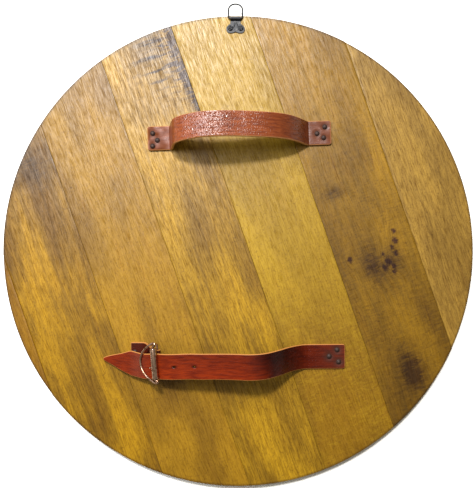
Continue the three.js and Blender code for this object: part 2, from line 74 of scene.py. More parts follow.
def linear(code):
    """An sRGB colour code as linear red, green, blue and a full alpha."""
    parts = [int(code[k:k + 2], 16) / 255 for k in (0, 2, 4)]
    return [p / 12.92 if p <= 0.04045 else ((p + 0.055) / 1.055) ** 2.4 for p in parts] + [1.0]


def node(material, kind, settings=None, values=None, links=None):
    """Adds a node with its settings, its socket values and its links from other nodes' sockets."""
    made = material.node_tree.nodes.new(kind)
    for name, value in (settings or {}).items():
        setattr(made, name, value)
    for name, value in (values or {}).items():
        made.inputs[name].default_value = value
    for name, source in (links or {}).items():
        material.node_tree.links.new(source, made.inputs[name])
    return made


def attribute(material, name, output="Fac"):
    """What a mesh attribute says, as a factor or a vector."""
    return node(material, "ShaderNodeAttribute", {"attribute_name": name}).outputs[output]


def stretched(material, place, stretch):
    """A place scaled along each axis, so that a pattern laid on it gets long where the scale is small."""
    return node(material, "ShaderNodeMapping", None, {"Scale": stretch}, {"Vector": place}).outputs[0]


def noise(material, place, scale, detail, **more):
    """Soft noise of that many cells a metre, as a factor."""
    values = {"Scale": scale, "Detail": detail, **more}
    return node(material, "ShaderNodeTexNoise", None, values, {"Vector": place}).outputs["Fac"]


def span(material, factor, low, high, least=0.0, most=1.0):
    """A factor's run from low to high as a run from least to most, and flat beyond it."""
    values = {1: low, 2: high, 3: least, 4: most}
    return node(material, "ShaderNodeMapRange", None, values, {0: factor}).outputs[0]


def reckon(material, operation, *terms):
    """One operation on terms that are numbers or other nodes' sockets."""
    values = {k: term for k, term in enumerate(terms) if isinstance(term, float)}
    links = {k: term for k, term in enumerate(terms) if k not in values}
    return node(material, "ShaderNodeMath", {"operation": operation}, values, links).outputs[0]


def mixed(material, factor, below, above, mode="MIX"):
    """One colour laid over another by a factor. Each is an sRGB code or another node's socket."""
    values = {k: linear(colour) for k, colour in ((6, below), (7, above)) if isinstance(colour, str)}
    links = {k: colour for k, colour in ((6, below), (7, above)) if k not in values}
    settings = {"data_type": "RGBA", "blend_type": mode}
    return node(material, "ShaderNodeMix", settings, values, {0: factor, **links}).outputs[2]


def feed(material, shader, **sources):
    """Links sockets to the shader's inputs, which are named with low lines for spaces."""
    for name, source in sources.items():
        material.node_tree.links.new(source, shader.inputs[name.replace("_", " ")])


def bumped(material, height, strength, distance):
    """The surface's normal, tilted as a height of that distance would."""
    values = {"Strength": strength, "Distance": distance}
    return node(material, "ShaderNodeBump", None, values, {"Height": height}).outputs[0]


def new_material(name, values):
    """A material with its own principled shader, and that shader's node."""
    material = bpy.data.materials.new(name)
    material.use_nodes = True
    shader = material.node_tree.nodes["Principled BSDF"]
    for key, value in values.items():
        shader.inputs[key].default_value = value
    return material, shader


def new_piece(name, points, faces, material, stands_for, body="shield", attributes=None):
    """A smooth mesh at the origin that stands for CAD nodes, with float or vector point attributes."""
    mesh = bpy.data.meshes.new(name)
    mesh.from_pydata(np.asarray(points).reshape(-1, 3), [], faces)
    for key, values in (attributes or {}).items():
        values = np.asarray(values, np.float32)
        vector = values.ndim > 1 and values.shape[-1] == 3
        layer = mesh.attributes.new(key, "FLOAT_VECTOR" if vector else "FLOAT", "POINT")
        layer.data.foreach_set("vector" if vector else "value", values.ravel())
    mesh.polygons.foreach_set("use_smooth", np.ones(len(mesh.polygons), bool))
    mesh.materials.append(material)
    piece = bpy.data.objects.new(name, mesh)
    bpy.context.scene.collection.objects.link(piece)
    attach(piece, body)
    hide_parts(*stands_for)
    return piece


def grid_faces(rows, columns, start=0, around=False, closed=False, flip=False):
    """Quads of a grid of points; around joins the last column to the first, and closed the last row."""
    across, down = np.arange(columns if around else columns - 1), np.arange(rows if closed else rows - 1)
    i, j = np.meshgrid(down, across, indexing="ij")
    k, low = (j + 1) % columns, (i + 1) % rows * columns
    quads = np.stack([i * columns + j, i * columns + k, low + k, low + j], -1).reshape(-1, 4) + start
    return quads[:, ::-1] if flip else quads


def eased(share):
    """A share from 0 to 1 that sets off and arrives gently."""
    return share * share * (3 - 2 * share)


def rotated(x, y, angle):
    """A place turned round the origin by an angle."""
    c, s = math.cos(angle), math.sin(angle)
    return x * c - y * s, x * s + y * c


def drift(x, y, step, seed):
    """Smooth noise from -1 to 1: seeded random heights on a lattice of that step, eased between them."""
    heights = np.random.default_rng(seed).uniform(-1, 1, (97, 89))
    gx, gy = np.asarray(x) / step[0] + 400, np.asarray(y) / step[1] + 400
    ix, iy = np.floor(gx).astype(int), np.floor(gy).astype(int)
    tx, ty = eased(gx - ix), eased(gy - iy)
    corner = lambda a, b: heights[(ix + a) % 97, (iy + b) % 89]
    low = corner(0, 0) * (1 - tx) + corner(1, 0) * tx
    high = corner(0, 1) * (1 - tx) + corner(1, 1) * tx
    return low * (1 - ty) + high * ty


def spot(u, v, at, size):
    """A soft spot that is 1 at its middle and falls away over its size, across and along the board."""
    return np.exp(-((u - at[0]) / size[0]) ** 2 - ((v - at[1]) / size[1]) ** 2)


def board_points(left, right, across, along, inset, height):
    """Points of a board's outline family: u runs from seam to seam and v from rim to rim, both
    drawn in by the inset; then the board's own u and v turn by the seam angle into x and y."""
    radius = shield_radius - inset
    u0, u1 = max(left + inset, -radius), min(right - inset, radius)
    u = u0 + (u1 - u0) * across
    v = along * np.sqrt(np.maximum(radius ** 2 - u ** 2, 0))
    x, y = rotated(u, v, seam_angle)
    return np.stack([x, y, np.full_like(x, height)], -1)


def board_mesh(left, right):
    """The top and bottom are grids; between them the outline is carried down over the eased edges."""
    wide = min(right, shield_radius) - max(left, -shield_radius)
    columns = max(int(wide / board_cell), 10)
    shares = np.linspace(0, 1, columns)
    if left < -shield_radius:
        shares = 1 - np.cos(shares * math.pi / 2)
    if right > shield_radius:
        shares = np.sin(shares * math.pi / 2)
    even = np.linspace(-1, 1, board_rows)
    a, s = np.meshgrid(shares, np.sin(even * math.pi / 2) * 0.5 + even * 0.5, indexing="ij")
    easing = rim_easing if wide < narrow_board else seam_easing
    top = board_points(left, right, a, s, easing, board_thickness)
    bottom = board_points(left, right, a, s, easing, 0.0)
    index = np.arange(columns * board_rows).reshape(columns, board_rows)
    loop = np.concatenate([index[:, 0], index[-1, 1:], index[-2::-1, -1], index[0, -2:0:-1]])
    rings = []
    for angle in np.linspace(0, math.pi / 2, 4)[1:]:
        rings.append((easing * (1 - math.sin(angle)), board_thickness - easing * (1 - math.cos(angle))))
    rings += [(inset, board_thickness - height) for inset, height in reversed(rings)]
    a, s = a.ravel()[loop], s.ravel()[loop]
    walls = [board_points(left, right, a, s, inset, height) for inset, height in rings]
    points = np.concatenate([top.reshape(-1, 3), bottom.reshape(-1, 3)] + walls)
    count = columns * board_rows
    faces = [grid_faces(columns, board_rows, flip=True), grid_faces(columns, board_rows, count)]
    ring_index = [loop] + [2 * count + k * len(loop) + np.arange(len(loop)) for k in range(len(rings))]
    ring_index.append(loop + count)
    for upper, lower in zip(ring_index[:-1], ring_index[1:]):
        faces.append(np.stack([upper, lower, np.roll(lower, -1), np.roll(upper, -1)], -1))
    return points, np.concatenate(faces)


def welded(points, faces):
    """The same surface with coincident points made one, and the faces that lose a side dropped."""
    _, first, back_to = np.unique(np.round(points * 1e7).astype(np.int64), axis=0,
                                  return_index=True, return_inverse=True)
    corners = [list(dict.fromkeys(face)) for face in back_to.ravel()[faces].tolist()]
    return points[first], [face for face in corners if len(face) > 2]


# The wood of each board: its two colours and the colour of its stain and painted shade, how far apart and how
# wavy its rings are, how strong its blotches, rings, curl and flecks are, and how much its stain and shade
# break up into hatching.
wood_columns = ("light", "dark", "stain_and_shade", "ring", "wave", "blotch", "figure", "curl", "fleck", "hatch")
wood_rows = {
    "board_1": ("7b5703", "644203", "7c7250", 0.006, 0.3, 0.3, 0.04, 0.05, 0.5, 0.4),
    "board_2": ("906a03", "674a02", "7c7250", 0.013, 1.0, 0.8, 0.1, 0.08, 0.7, 0.4),
    "board_3": ("876409", "705006", "6a6468", 0.017, 0.9, 0.6, 0.08, 0.05, 0.5, 0.4),
    "board_4": ("98730b", "6a4e05", "5a3e44", 0.008, 0.35, 0.6, 0.06, 0.04, 0.75, 0.7),
    "board_5": ("967710", "81630c", "d0c080", 0.014, 0.4, 0.3, 0.06, 0.04, 0.45, 0.4),
    "board_6": ("846006", "644906", "7a6a2c", 0.011, 2.2, 0.45, 0.1, 0.16, 0.35, 0.3),
    "board_7": ("896a26", "6e521c", "5d5878", 0.012, 0.6, 0.4, 0.08, 0.05, 0.75, 0.4),
}
wood_kinds = {name: dict(zip(wood_columns, row)) for name, row in wood_rows.items()}
# Knots and burl eyes of board_6: where across and along it, and the size.
knots = [
    (0.1733, -0.0830, 0.0035), (0.1800, -0.0765, 0.0045), (0.1845, -0.0850, 0.0030),
    (0.1830, -0.0915, 0.0026), (0.1925, -0.0700, 0.0030), (0.1965, -0.0540, 0.0034),
    (0.1990, -0.0420, 0.0026), (0.1900, -0.0610, 0.0022), (0.1330, -0.0590, 0.0030),
    (0.1760, -0.0660, 0.0018),
]


def wood(name, kind):
    """Oiled mango wood, sawn and sanded: faint rings from the ring attribute, soft blotches, flecks about
    1.4 mm across and 14 mm long, short dark pores, and a satin oil finish that follows the flecks; stains,
    and painted shade on the eased rim and low on boards 5 and 6, laid on from the board's attributes."""
    made, shader = new_material("mango_wood_" + name, {"IOR": 1.4})
    grain = attribute(made, "grain", "Vector")
    streak = noise(made, stretched(made, grain, (1.0, 0.035, 1.0)), scale=300.0, detail=6.0, Roughness=0.68)
    fibre = noise(made, stretched(made, grain, (1.0, 0.1, 1.0)), scale=700.0, detail=5.0, Roughness=0.62)
    cloud = noise(made, stretched(made, grain, (1.0, 0.34, 1.0)), scale=26.0, detail=2.0, Roughness=0.4)
    curl = noise(made, stretched(made, grain, (0.24, 1.0, 1.0)), scale=300.0, detail=5.0, Distortion=1.2)
    eye = noise(made, grain, scale=420.0, detail=3.0)
    pores = node(made, "ShaderNodeTexVoronoi", None, {"Scale": 560.0},
                 {"Vector": stretched(made, grain, (1.0, 0.16, 1.0))})
    pore = span(made, pores.outputs["Distance"], 0.08, 0.24, 1.0, 0.0)

    wave = reckon(made, "MULTIPLY", attribute(made, "ring"), 2 * math.pi)
    band = span(made, reckon(made, "SINE", wave), -1.0, 1.0)
    rings = reckon(made, "MULTIPLY_ADD", band, kind["figure"], streak)
    colour = mixed(made, span(made, rings, 0.32, 0.68 + kind["figure"]), kind["light"], kind["dark"])
    hatch = reckon(made, "MULTIPLY_ADD", curl, 4 * kind["hatch"], 1 - 2 * kind["hatch"])
    ragged = reckon(made, "MULTIPLY", hatch, attribute(made, "stain_and_shade"))
    spotted = reckon(made, "MULTIPLY_ADD", eye, 1.6, attribute(made, "knot"))
    # Each layer: the factor, the colour, where the factor starts and ends, the most, and the way it mixes.
    layers = [
        (streak, "fff4d0", 0.57, 0.72, 0.35, "SOFT_LIGHT"),
        (streak, "8e7440", 0.43, 0.3, 0.6, "MULTIPLY"),
        (cloud, "b0a462", 0.44, 0.68, kind["blotch"], "MULTIPLY"),
        (cloud, "fffbe8", 0.5, 0.3, kind["blotch"] * 0.6, "SOFT_LIGHT"),
        (curl, "86693c", 0.44, 0.74, kind["curl"], "MULTIPLY"),
        (fibre, "98804c", 0.46, 0.74, kind["fleck"], "MULTIPLY"),
        (fibre, "fffae8", 0.5, 0.28, kind["fleck"] * 0.4, "SOFT_LIGHT"),
        (pore, "6c5330", 0.0, 1.0, 0.25, "MULTIPLY"),
        # Stain, and on boards 5 and 6 painted shade towards the bottom.
        (ragged, kind["stain_and_shade"], 0.1, 0.9, 1.0, "MULTIPLY"),
        (spotted, "66281a", 0.85, 1.75, 0.95, "MULTIPLY"),
        # Painted shade on the eased rim, and darker seams.
        (attribute(made, "rim"), "8d8474", 0.0, 1.0, 0.6, "MULTIPLY"),
    ]
    for factor, code, low, high, most, mode in layers:
        colour = mixed(made, span(made, factor, low, high, 0.0, most), colour, code, mode)
    height = reckon(made, "MULTIPLY_ADD", pore, -0.8, fibre)
    feed(made, shader, Base_Color=colour, Roughness=span(made, fibre, 0.3, 0.7, 0.36, 0.54),
         Specular_IOR_Level=span(made, fibre, 0.34, 0.66, 0.72, 0.22),
         Normal=bumped(made, height, strength=0.18, distance=0.00025))
    return made


def stain_and_shade_of(name, u, v, right):
    """How stained and shaded a board is: stain beside board_4's right seam near the top with bars across the
    grain, soft patches on boards 2 and 3, and patches round 6's knots; and painted shade that darkens 5 and 6
    towards the bottom."""
    if name == "board_2":
        return 0.75 * spot(u, v, (-0.212, 0.19), (0.05, 0.03)) * (0.7 + 0.3 * drift(u, v, (0.02, 0.05), 74))
    if name == "board_3":
        return 0.3 * spot(u, v, (-0.15, 0.2), (0.03, 0.06)) * (0.6 + 0.4 * drift(u, v, (0.01, 0.05), 75))
    if name == "board_4":
        reach = 0.006 + 0.17 * np.maximum(v - 0.15, 0)
        near_seam = np.exp(-np.maximum(right - u - 0.001, 0) / reach) * np.clip((v - 0.155) / 0.05, 0, 1)
        bars = np.clip(drift(u + 0.35 * v, v, (0.03, 0.0034), 73) * 2.4 - 0.5, 0, 1)
        return (near_seam * (1.05 + 0.35 * drift(u, v, (0.006, 0.022), 72))
                + 0.7 * bars * spot(u, v, (-0.018, 0.262), (0.03, 0.034)))
    if name == "board_5":
        # Painted shade: board_5 darkens towards the bottom, where the light falls off.
        return np.clip(-v / 0.2, 0, 1) * (0.85 + 0.15 * drift(u, v, (0.03, 0.12), 77))
    if name == "board_6":
        patches = [(0.7, (0.163, -0.225), (0.016, 0.03)), (0.5, (0.157, -0.072), (0.016, 0.024)),
                   (0.4, (0.187, -0.075), (0.012, 0.022)), (0.5, (0.143, 0.03), (0.014, 0.009))]
        # Painted shade: board_6 darkens towards the bottom; the patches below are stain.
        downward = np.clip((0.2 - v) / 0.35, 0, 1) * (0.4 + 0.15 * drift(u, v, (0.02, 0.05), 76))
        return downward + sum(most * spot(u, v, at, size) for most, at, size in patches)
    return np.zeros(len(u))


def board_attributes(name, points, number, left, right):
    """Grain is the board's own u, v and depth; ring counts the growth rings across it, bent round knots;
    the stain mask (stain, and painted shade low on boards 5 and 6), knot and rim (painted shade on the eased
    edge, and darker seams) are 0 to 1. The rings of board_3 also arch round a place low on its right."""
    kind = wood_kinds[name]
    u, v = rotated(points[:, 0], points[:, 1], -seam_angle)
    bent = u + kind["wave"] * 0.006 * drift(u, v, (0.05, 0.16), 10 + number)
    bent = bent + kind["wave"] * 0.0016 * drift(u, v, (0.016, 0.05), 30 + number)
    dark = np.zeros(len(u))
    for at_u, at_v, size in knots if name == "board_6" else []:
        away = np.hypot(u - at_u, (v - at_v) * 0.8) / size
        bent = bent + size * 1.6 * np.exp(-(away / 3.2) ** 2)
        dark = np.maximum(dark, np.clip(1.6 - away, 0, 1))
    arch = 0.0
    if name == "board_3":
        arch = 0.016 * np.sqrt((v / 0.05 + 1.0) ** 2 * 0.02 + ((u + 0.13) / 0.02) ** 2)
    # Painted shade: the outermost few millimetres of the eased rim darken.
    rim = np.clip((np.hypot(points[:, 0], points[:, 1]) - shield_radius + rim_shade_reach) / (rim_shade_reach / 2), 0, 1)
    seam = np.clip(1 - np.minimum(u - left, right - u) / seam_wear, 0, 1)
    return {
        "grain": np.stack([(u + bent) / 2 + 0.7 * number, v, points[:, 2]], -1),
        "ring": (bent + arch) / kind["ring"],
        "stain_and_shade": np.clip(stain_and_shade_of(name, u, v, right), 0, 1),
        "knot": dark,
        "rim": np.clip(rim + 0.3 * seam, 0, 1),
    }


cuts = [-1.0] + seams + [1.0]
for number, (name, kind) in enumerate(wood_kinds.items(), 1):
    left, right = cuts[number - 1] + seam_gap / 2, cuts[number] - seam_gap / 2
    points, faces = welded(*board_mesh(left, right))
    new_piece(name + "_wood", points, faces, wood(name, kind), [name],
              attributes=board_attributes(name, points, number, left, right))

# Hand grip. One strap of orange-brown harness leather, cut square with its corners rounded, flat where
# it is riveted down and bowed up for the fingers between. It leans up the shield, and its face is crackled.
grip_middle = (0.0015, 0.1492)
grip_turn = math.radians(1.9)
grip_length = 0.2375
grip_tab = 0.030
grip_width = 0.031
grip_thickness = 0.0035
grip_rise = 0.049
grip_lean = math.tan(math.radians(7.5))
seat_gap = 0.0003
strap_corner = 0.003
grip_arch = [
    (0, 0), (0.008, 0.09), (0.022, 0.3), (0.046, 0.56), (0.1, 0.75), (0.17, 0.88), (0.24, 0.97),
    (0.33, 1), (0.42, 0.985), (0.51, 0.94), (0.6, 0.875), (0.69, 0.8), (0.78, 0.69), (0.855, 0.54),
    (0.925, 0.31), (0.975, 0.1), (1, 0),
]
rivet_seat_radius = 0.0048
grip_seat_depth = 0.0007
line_step = 0.0012
grip_rivets = [
    (0.007, 0.0064), (0.0127, -0.0026), (0.0064, -0.0099),
    (-0.0083, 0.0075), (-0.0186, -0.0008), (-0.0102, -0.0064),
]


def run_of(line):
    """How far along a line each of its points is."""
    return np.concatenate([[0], np.cumsum(np.linalg.norm(np.diff(line, axis=0), axis=1))])


def sampled(places, run, line):
    """The points of a line at those places along its run."""
    return np.stack([np.interp(places, run, line[:, k]) for k in range(line.shape[1])], -1)


def unit(directions):
    """The same directions, each one long."""
    return directions / np.linalg.norm(directions, axis=-1, keepdims=True)


def smooth_line(through, step, closed=False):
    """A centripetal Catmull-Rom line through points, then re-spaced evenly at about that step."""
    p = np.asarray(through, float)
    if closed:
        p = np.concatenate([p[-1:], p, p[:2]])
    else:
        p = np.concatenate([2 * p[:1] - p[1:2], p, 2 * p[-1:] - p[-2:-1]])
    p0, p1, p2, p3 = p[:-3, None], p[1:-2, None], p[2:-1, None], p[3:, None]
    gap = lambda a, b: np.maximum(np.linalg.norm(b - a, axis=-1, keepdims=True), 1e-9) ** 0.5
    d0, d1, d2 = gap(p0, p1), gap(p1, p2), gap(p2, p3)
    start = ((p1 - p0) / d0 - (p2 - p0) / (d0 + d1) + (p2 - p1) / d1) * d1
    end = ((p2 - p1) / d1 - (p3 - p1) / (d1 + d2) + (p3 - p2) / d2) * d1
    t = np.linspace(0, 1, 60, endpoint=False)[None, :, None]
    line = (2 * t ** 3 - 3 * t ** 2 + 1) * p1 + (t ** 3 - 2 * t ** 2 + t) * start
    line = line + (3 * t ** 2 - 2 * t ** 3) * p2 + (t ** 3 - t ** 2) * end
    line = np.concatenate([line.reshape(-1, p.shape[1]), p2[-1]])
    run = run_of(line)
    places = np.linspace(0, run[-1], max(int(run[-1] / step), 8) + 1)
    return sampled(places, run, line)


def line_normals(line):
    """Unit normals of a line in the x and z plane, up where it runs towards +x."""
    along = unit(np.gradient(line, axis=0))
    return np.stack([-along[:, 1], along[:, 0]], -1)


def strap_surface(line, half_width, thickness, across=29, corner=0.0009, holes=(), press=()):
    """A flat strap along a line in x and z. At each station the cross-section is a rectangle with rounded
    corners, as wide as half_width says; the ends are drawn in over the last stations and closed.
    Holes are (distance along, across, radius): the grid round each is drawn on to its circle, the faces
    inside are left out and a wall joins both sides. Press holds (along, across, radius, depth) hollows in
    the upper face. Gives points in (x, across, z), faces, the distance along, and how near the cut edge."""
    run = run_of(line)
    end = np.linspace(0, 1, 5)[:-1] * corner
    inner = run[(run > corner * 1.2) & (run < run[-1] - corner * 1.2)]
    stations = np.concatenate([end, inner, run[-1] - end[::-1]])
    ease = 1 - np.clip(np.minimum(stations, run[-1] - stations) / corner, 0, 1)
    thin = 0.45 + 0.55 * np.sqrt(np.maximum(1 - ease ** 2, 0))
    centre = sampled(stations, run, line)
    normal = unit(sampled(stations, run, line_normals(line)))
    half = np.asarray(half_width(stations, run[-1]))
    s, w = np.meshgrid(stations, np.linspace(-1, 1, across), indexing="ij")
    flat = w * (half - corner)[:, None]
    m = 2
    rings = []
    for at_s, at_w, radius in holes:
        i = np.abs(stations - at_s).argmin()
        j = np.abs(flat[i] - at_w).argmin()
        di, dj = np.meshgrid(np.arange(-2 * m, 2 * m + 1), np.arange(-2 * m, 2 * m + 1), indexing="ij")
        reach = np.maximum(np.abs(di), np.abs(dj)) / m
        angle = np.arctan2(dj, di)
        keep = np.clip(reach - 1, 0, 1)
        part = (slice(i - 2 * m, i + 2 * m + 1), slice(j - 2 * m, j + 2 * m + 1))
        s[part] = at_s + radius * np.cos(angle) * reach * (1 - keep) + (s[part] - at_s) * keep
        flat[part] = at_w + radius * np.sin(angle) * reach * (1 - keep) + (flat[part] - at_w) * keep
        rings.append((i, j))
    lift = np.zeros_like(s)
    for at_s, at_w, radius, depth in press:
        lift = lift - depth * np.exp(-(np.hypot(s - at_s, flat - at_w) / radius) ** 4)
    angles = np.linspace(0, math.pi, 9)[1:-1]
    thick = thickness / 2
    rounding = min(corner, thick)

    def placed(width, height, along, lifted=0.0):
        """Points at a distance along the line, out from it by a width and up from it by a height."""
        base, up = sampled(along, stations, centre), sampled(along, stations, normal)
        z = height * np.interp(along, stations, thin) + lifted
        return np.stack([base[..., 0] + up[..., 0] * z, width, base[..., 1] + up[..., 1] * z], -1)

    turn_out = (half - corner)[:, None] + corner * np.sin(angles)[None]
    turn_z = np.sign(np.cos(angles)) * (thick - rounding + rounding * np.abs(np.cos(angles)))
    turn_z = np.where(np.abs(np.cos(angles)) < 1e-6, 0, turn_z)[None] + 0 * turn_out
    side_s = stations[:, None] + 0 * turn_out
    points = np.concatenate([
        placed(flat, np.full_like(s, thick), s, lift), placed(turn_out, turn_z, side_s),
        placed(flat[:, ::-1], np.full_like(s, -thick), s[:, ::-1]), placed(-turn_out, -turn_z, side_s)], 1)
    rows, columns = points.shape[:2]
    index = np.arange(rows * columns).reshape(rows, columns)
    below = across + len(angles) + across - 1
    gone = np.zeros((rows - 1, columns), bool)
    walls = []
    for i, j in rings:
        gone[i - m:i + m, j - m:j + m] = True
        gone[i - m:i + m, below - j - m:below - j + m] = True
        up_ring = np.concatenate([index[i - m, j - m:j + m], index[i - m:i + m, j + m],
                                  index[i + m, j + m:j - m:-1], index[i + m:i - m:-1, j - m]])
        rows_of, columns_of = np.divmod(up_ring, columns)
        low_ring = index[rows_of, below - columns_of]
        walls.append(np.stack([up_ring, np.roll(up_ring, -1), np.roll(low_ring, -1), low_ring], -1))
    faces = np.concatenate([grid_faces(rows, columns, around=True)[~gone.ravel()]] + walls)
    caps = [index[0].tolist(), index[-1][::-1].tolist()]
    edge = np.zeros((rows, columns))
    side = 1 - np.abs(np.cos(angles))[None] ** 6 + 0 * turn_out
    edge[:, across:across + len(angles)] = side
    edge[:, 2 * across + len(angles):] = side
    edge = np.maximum(edge, ease[:, None])
    along = np.concatenate([s, side_s, s[:, ::-1], side_s], 1)
    return points.reshape(-1, 3), faces[:, ::-1].tolist() + caps, along.ravel(), edge.ravel()


def square_end(width, corner):
    """Half the width of a strap whose ends are square with rounded corners: full, less the corner's arc."""
    def half(distance, length):
        short = corner - np.clip(np.minimum(distance, length - distance), 0, corner)
        return width / 2 - corner + np.sqrt(np.maximum(corner ** 2 - short ** 2, 0))
    return half


def leather(name, colours, crack, gloss, shine):
    """Vegetable-tanned harness leather, drum-dyed and waxed: a fine pebble about 0.8 mm across, creases
    across the strap where it bows, a waxy gloss, and pale raw fibre on the cut edges; a darker colour laid
    where an attribute says, for darker leather in places and for painted shade."""
    made, shader = new_material("harness_leather_" + name, {})
    place = attribute(made, "lay", "Vector")
    edge, worn = attribute(made, "edge"), attribute(made, "worn")
    pebble = node(made, "ShaderNodeTexVoronoi", None, {"Scale": 1150.0}, {"Vector": place})
    mottle = noise(made, stretched(made, place, (0.14, 1.0, 1.0)), scale=420.0, detail=5.0, Roughness=0.6)
    crease = node(made, "ShaderNodeTexVoronoi", {"feature": "DISTANCE_TO_EDGE"}, {"Scale": crack},
                  {"Vector": stretched(made, place, (1.0, 0.45, 1.0))})
    line = span(made, crease.outputs["Distance"], 0.0, 0.09, 1.0, 0.0)
    line = reckon(made, "MULTIPLY", line, attribute(made, "crackle"))
    # Painted shade, and darker leather in places: the darker colour where that attribute says.
    colour = mixed(made, attribute(made, "deep_tone_and_shade"), colours["face"], colours["deep_tone_and_shade"])
    colour = mixed(made, span(made, mottle, 0.38, 0.66, 0.0, 0.7), colour, colours["mottle"], "MULTIPLY")
    colour = mixed(made, worn, colour, colours["worn"])
    colour = mixed(made, reckon(made, "MULTIPLY", line, 0.4), colour, colours["crease"], "MULTIPLY")
    colour = mixed(made, edge, colour, colours["edge"])
    rough = reckon(made, "MULTIPLY_ADD", edge, 0.35, gloss)
    height = reckon(made, "MULTIPLY_ADD", pebble.outputs["Distance"], 0.35, mottle)
    height = reckon(made, "MULTIPLY_ADD", line, -1.6, height)
    feed(made, shader, Base_Color=colour, Roughness=reckon(made, "MULTIPLY_ADD", worn, 0.5, rough),
         Specular_IOR_Level=reckon(made, "MULTIPLY_ADD", worn, -shine, shine),
         Normal=bumped(made, height, strength=0.6, distance=0.0004))
    return made


def strap_attributes(points, along, edge, worn, deep_tone_and_shade, crackle):
    """Lay is the place on the hide: along, across and through. The others are kept from 0 to 1."""
    lay = np.stack([along, points[:, 1], 0.3 * points[:, 2]], -1)
    rest = {"edge": edge, "worn": worn, "deep_tone_and_shade": deep_tone_and_shade, "crackle": crackle}
    return {"lay": lay, **{name: np.clip(values, 0, 1) for name, values in rest.items()}}


def flat_line(shares, lead, reach, rise, seat, tail, step):
    """A strap's line: flat for lead, then along the bow's shares of reach and rise, then flat for tail."""
    bow = smooth_line([(lead + a * reach, seat + b * rise) for a, b in shares], step)
    before = np.linspace(0, lead, int(lead / step), endpoint=False)
    parts = [np.stack([before, np.full(len(before), seat)], -1), bow]
    if tail:
        past = np.linspace(tail, 0, int(tail / step), endpoint=False)[::-1]
        parts.append(np.stack([lead + reach + past, np.full(len(past), seat)], -1))
    return np.concatenate(parts)


def to_grip(points):
    """Leans the strap's height across the shield, then turns it and puts it in its place."""
    x, y, z = points[:, 0] - grip_length / 2, points[:, 1], points[:, 2]
    y = y + grip_lean * np.maximum(z - seat_gap - grip_thickness * 1.5, 0)
    x, y = rotated(x, y, grip_turn)
    return np.stack([x + grip_middle[0], y + grip_middle[1], z + back], -1)


grip_line = flat_line(grip_arch, grip_tab, grip_length - 2 * grip_tab, grip_rise,
                      seat_gap + grip_thickness / 2, grip_tab, line_step)
grip_full = run_of(grip_line)[-1]
grip_seats = [(a if a > 0 else grip_full + a, b) for a, b in grip_rivets]
grip_presses = [(a, b, rivet_seat_radius, grip_seat_depth) for a, b in grip_seats]
points, faces, along, edge = strap_surface(grip_line, square_end(grip_width, strap_corner), grip_thickness,
                                           across=33, corner=0.0010, press=grip_presses)
share = points[:, 0] / grip_length
worn = np.interp(share, [0, 0.09, 0.14, 0.2, 0.85, 0.9, 1], [0.9, 0.8, 0.2, 0.0, 0.0, 0.6, 0.7])
worn = worn * (0.8 + 0.4 * drift(along, points[:, 1], (0.006, 0.005), 51))
# Painted shade over the right-hand side of the bow, which faces away from the lamp; the right tab is darker
# leather.
deep_tone_and_shade = np.interp(share, [0, 0.3, 0.5, 0.62, 0.72, 0.84, 1], [0.1, 0.0, 0.15, 0.35, 0.6, 0.9, 0.55])
crackle = np.interp(share, [0, 0.2, 0.28, 0.46, 0.54, 1], [0.1, 0.15, 1.0, 1.0, 0.15, 0.1])
# Painted shade in the hollows round the rivets.
for a, b in grip_seats:
    deep_tone_and_shade = deep_tone_and_shade + 0.7 * np.exp(-(np.hypot(along - a, points[:, 1] - b) / rivet_seat_radius) ** 4)
hide = strap_attributes(points, along, edge, worn, deep_tone_and_shade, crackle)
grip_colours = {"face": "84401a", "deep_tone_and_shade": "502003", "mottle": "9a6644", "worn": "522a14",
                "crease": "5c2c16", "edge": "b07c4a"}
grip_leather = leather("orange_brown", grip_colours, crack=520.0, gloss=0.24, shine=0.62)
new_piece("grip_strap_leather", to_grip(points), faces, grip_leather, ["grip_strap"],
          attributes=hide)

# Arm strap. A longer strap of red-brown harness leather, riveted at one side and bowed over the forearm;
# its pointed end goes down through the buckle, and it is punched with round holes for the prong.
arm_fixed_end = 0.138
arm_tab = 0.048
arm_y = -0.136
arm_reach = 0.312
arm_width = 0.0315
arm_thickness = 0.0032
arm_rise = 0.049
arm_point = 0.038
arm_tip_half = 0.0011
arm_arch = [
    (0, 0), (0.025, 0.035), (0.06, 0.16), (0.1, 0.38), (0.15, 0.72), (0.215, 0.99), (0.285, 1),
    (0.355, 0.92), (0.445, 0.83), (0.54, 0.77), (0.634, 0.69), (0.699, 0.57), (0.746, 0.445),
    (0.811, 0.25), (0.852, 0.175), (0.905, 0.1), (0.953, 0.05), (1, 0.02),
]
arm_drift = [
    (0, 0), (0.25, -0.0005), (0.42, -0.0036), (0.62, -0.005), (0.76, -0.0074), (0.83, -0.0096),
    (0.9, -0.0065), (1, -0.003),
]
arm_rivets = [(0.0103, 0.0086), (0.0206, 0.0003), (0.0084, -0.0069)]
adjust_holes = [0.1915, 0.2165]
adjust_hole_radius = 0.0011
prong_hole_radius = 0.0019
prong_ahead = 0.0048
arm_seat_depth = 0.0006
rivet_wear = 0.006
buckle_at = 0.2395
buckle_reach = 0.0205

arm_line = flat_line(arm_arch, arm_tab, arm_reach - arm_tab, arm_rise, seat_gap + arm_thickness / 2, 0,
                     line_step)
arm_run = run_of(arm_line)


def pointed_end(distance, length):
    """Half the width: rounded corners at the fixed end, and at the free end an arrow with a blunt tip."""
    start = square_end(arm_width, strap_corner)(distance, length * 2)
    left = np.clip(length - distance, 0, arm_point) / arm_point
    tip = arm_width / 2 * (0.1 * np.sqrt(np.minimum(left / 0.03, 1)) + 0.9 * left ** 0.92)
    return np.minimum(start, np.maximum(tip, arm_tip_half))


